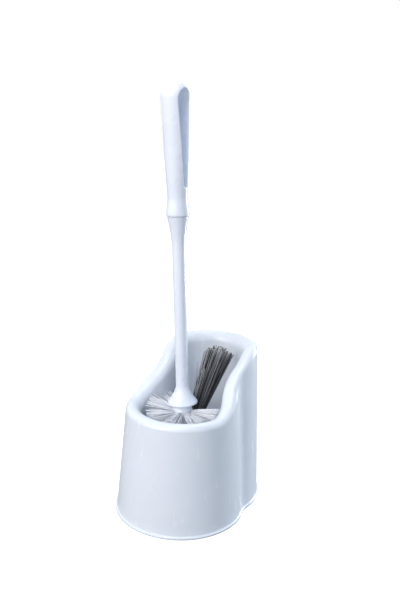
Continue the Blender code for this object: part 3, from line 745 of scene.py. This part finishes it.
def ring_tuft(angle, ring, lift):
    """One tuft of a ring: a wide fan trimmed to the head's round, its tips lifted by wear."""
    count = FIBRES_PER_TUFT
    tip_radius = HEAD_RADIUS - HEAD_TAPER[ring]
    dip = LOWEST_RING_DIP if ring == 0 else 0.0
    height = LOWEST_RING_HEIGHT + RING_PITCH * ring
    seat = seat_frame(angle, CORE_RADIUS - TUFT_SEAT, height, dip)
    spots = disc_points(count)
    across = FAN_SPREAD * tip_radius * math.sin(math.pi / TUFTS_PER_RING)
    tip_x = spots[:, 0] * across + chance.normal(0.0, TIP_SCATTER_ACROSS, count)
    tip_y = spots[:, 1] * TUFT_RISE * RING_PITCH
    tip_y += chance.normal(0.0, TIP_SCATTER_ALONG, count)
    tip_y += lift * chance.uniform(0.1, 1.0, count)
    reach = np.sqrt(tip_radius ** 2 - tip_x ** 2) - (CORE_RADIUS - TUFT_SEAT)
    reach = reach / math.cos(dip) + TIP_OVERSHOOT
    reach -= np.abs(chance.normal(0.0, TIP_RAGGEDNESS, count))
    roots = np.stack([spots[:, 0] * FIBRE_ROOT_SPREAD, spots[:, 1] * FIBRE_ROOT_SPREAD,
                      np.full(count, FIT_GAP)], axis=1)
    tips = np.stack([tip_x, tip_y, reach], axis=1)
    return grow_fibres(seat, roots, tips, FIBRE_RADIUS, FIBRE_BOW,
                       chance.uniform(0.0, 1.0, count))


def bristle_finish(name, shaded_root, lit_tip, dark, gloss, low, high):
    """Nylon fibre: some strands dark and some pale at random, and along every fibre painted shade
    at the root, deep in the tuft, turning to painted light at the tip.
    """
    finish = Finish(name, IOR=1.53, Roughness=gloss)
    reach = finish.node("ShaderNodeAttribute", {"attribute_name": "fibre_reach"}, output="Fac")
    shade = finish.node("ShaderNodeAttribute", {"attribute_name": "fibre_shade"}, output="Fac")
    # Painted shade and light: each fibre runs from the shaded root colour to the lit tip colour.
    painted_root_shade_tip_light = finish.blend(reach, (*shaded_root, 1.0), (*lit_tip, 1.0))
    darkness = finish.step(shade, low, high)
    finish.drive("Base Color", finish.blend(darkness, painted_root_shade_tip_light, (*dark, 1.0)))
    return finish


# Painted shade and light along the white fibres: a touch darker and bluer at the shaded roots
# than at the lit tips.
white_finish = bristle_finish("white_bristle", (0.92, 0.93, 0.96), (0.98, 0.98, 0.99),
                              (0.74, 0.78, 0.86), 0.38, 0.5, 1.0)
for ring in range(len(HEAD_TAPER)):
    top_ring = ring == len(HEAD_TAPER) - 1
    stagger = 0.5 if (len(HEAD_TAPER) - 1 - ring) % 2 == 0 else 0.0
    batches, nodes = [], []
    for count in range(TUFTS_PER_RING):
        node = "white_tuft_%d_%d" % (ring + 1, count + 1)
        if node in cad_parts:
            angle = math.pi / 2 + math.tau / TUFTS_PER_RING * (count + stagger)
            lift = WORN_LIFT.get(count + 1, 0.0) if top_ring else 0.0
            batches.append(ring_tuft(angle, ring, lift))
            nodes.append(node)
    add_piece("white_bristles_ring_%d" % (ring + 1), fibre_mesh("white_ring", batches),
              white_finish, "brush", nodes)

# ---- The crown of bristles under the head -------------------------------------------------
# The same white nylon on the post's domed foot: six tufts that dip outwards and one straight
# down, which stands on the floor of the cup.
CROWN_TUFTS = 6
CROWN_DIP = math.radians(40)
CROWN_RADIUS = 0.0235
CROWN_SPREAD = 0.60
CROWN_RAGGEDNESS = 0.0005
CROWN_BOW = 0.0005

batches, nodes = [], []
for count in range(CROWN_TUFTS + 1):
    spots = disc_points(FIBRES_PER_TUFT)
    if count < CROWN_TUFTS:
        nodes.append("crown_tuft_%d" % (count + 1))
        seat = seat_frame(math.tau * count / CROWN_TUFTS, CORE_RADIUS - TUFT_SEAT,
                          CORE_DOME_CENTRE, CROWN_DIP)
        length = CROWN_RADIUS / math.cos(CROWN_DIP) - CORE_RADIUS + TUFT_SEAT
        spread = (CROWN_SPREAD * CROWN_RADIUS * math.sin(math.pi / CROWN_TUFTS),
                  TUFT_RISE * RING_PITCH)
    else:
        nodes.append("crown_tuft_centre")
        seat = seat_frame(0.0, CORE_RADIUS - TUFT_SEAT, CORE_DOME_CENTRE, math.pi / 2)
        length = CORE_DOME_CENTRE - CORE_RADIUS + TUFT_SEAT - FIT_GAP
        spread = (CROWN_CENTRE_RADIUS, CROWN_CENTRE_RADIUS)
    lengths = length - np.abs(chance.normal(0.0, CROWN_RAGGEDNESS, FIBRES_PER_TUFT))
    roots = np.column_stack([spots * FIBRE_ROOT_SPREAD, np.full(FIBRES_PER_TUFT, FIT_GAP)])
    tips = np.column_stack([spots * spread, lengths])
    batches.append(grow_fibres(seat, roots, tips, FIBRE_RADIUS, CROWN_BOW,
                               chance.uniform(0.0, 1.0, FIBRES_PER_TUFT)))
add_piece("white_bristles_crown", fibre_mesh("white_crown", batches), white_finish,
          "brush", nodes)

# ---- The rim cleaner's grey bristles -------------------------------------------------------
# Four long tufts of charcoal nylon stand in a row along the arm and lean outwards, so that
# they reach under the bowl's rim.  They part a little between the tufts, and a few pale
# strays stand clear on the stem's side.
RIM_TUFT_LENGTHS = (0.066, 0.0675, 0.066, 0.0615)
RIM_TUFT_LEANS = (26.5, 29, 33, 38.5)
RIM_TUFT_ROOT_RADIUS = 0.0015688
RIM_TUFT_TIP_ACROSS = 0.0046
RIM_TUFT_TIP_ALONG = 0.0036
RIM_TUFT_SEAT = 0.0030
RIM_FIBRES = 72
RIM_FIBRE_RADIUS = 0.00042
RIM_FIBRE_BOW = 0.0011
RIM_TIP_OVERSHOOT = 0.0010
RIM_TIP_RAGGEDNESS = 0.0030
RIM_TIP_SCATTER = 0.0010
RIM_STRAYS = 14
STRAY_ROOT_SCATTER = 0.0005
STRAY_TIP_SCATTER = 0.0030
STRAY_TIP_DRIFT = (0.0030, 0.0095)
STRAY_LENGTHS = (0.030, 0.058)
STRAY_THINNESS = 0.7
STRAY_BOW = 0.0012

# Painted shade and light along the grey fibres: nearly black at the shaded roots and mid grey at
# the tips, where a painted sheen stands for the glints.
grey_finish = bristle_finish("grey_bristle", (0.10, 0.103, 0.11), (0.46, 0.46, 0.465),
                             (0.006, 0.007, 0.008), 0.30, 0.46, 0.66)
first_root = CORE_RADIUS + RIM_TUFT_ROOT_RADIUS + FIT_GAP + CORE_WALL
last_root = ARM_END - ARM_WIDTH / 2
batches, nodes = [], []
for index, length in enumerate(RIM_TUFT_LENGTHS):
    nodes.append("rim_tuft_%d" % (index + 1))
    lean = math.radians(RIM_TUFT_LEANS[index])
    root_y = first_root + (last_root - first_root) * index / (len(RIM_TUFT_LENGTHS) - 1)
    out = Vector((0.0, math.sin(lean), math.cos(lean)))
    seat = (Matrix.Translation(Vector((0.0, root_y, ARM_TOP)) - out * RIM_TUFT_SEAT)
            @ out.to_track_quat("Z", "Y").to_matrix().to_4x4())
    spots = disc_points(RIM_FIBRES)
    roots = np.column_stack([spots * (RIM_TUFT_ROOT_RADIUS - RIM_FIBRE_RADIUS),
                             np.full(RIM_FIBRES, FIT_GAP)])
    lengths = RIM_TUFT_SEAT + length + RIM_TIP_OVERSHOOT
    lengths = lengths - np.abs(chance.normal(0.0, RIM_TIP_RAGGEDNESS, RIM_FIBRES))
    tips = np.column_stack([spots * (RIM_TUFT_TIP_ACROSS, RIM_TUFT_TIP_ALONG)
                            + chance.normal(0.0, RIM_TIP_SCATTER, (RIM_FIBRES, 2)), lengths])
    batches.append(grow_fibres(seat, roots, tips, RIM_FIBRE_RADIUS, RIM_FIBRE_BOW,
                               chance.uniform(0.0, 1.0, RIM_FIBRES)))
    if index == 0:
        roots = np.column_stack([chance.normal(0.0, STRAY_ROOT_SCATTER, (RIM_STRAYS, 2)),
                                 np.full(RIM_STRAYS, FIT_GAP)])
        tips = np.column_stack([chance.normal(0.0, STRAY_TIP_SCATTER, RIM_STRAYS),
                                chance.uniform(*STRAY_TIP_DRIFT, RIM_STRAYS),
                                chance.uniform(*STRAY_LENGTHS, RIM_STRAYS)])
        batches.append(grow_fibres(seat, roots, tips, STRAY_THINNESS * RIM_FIBRE_RADIUS,
                                   STRAY_BOW, np.zeros(RIM_STRAYS)))
add_piece("grey_rim_bristles", fibre_mesh("grey_rim", batches), grey_finish,
          "brush", nodes)
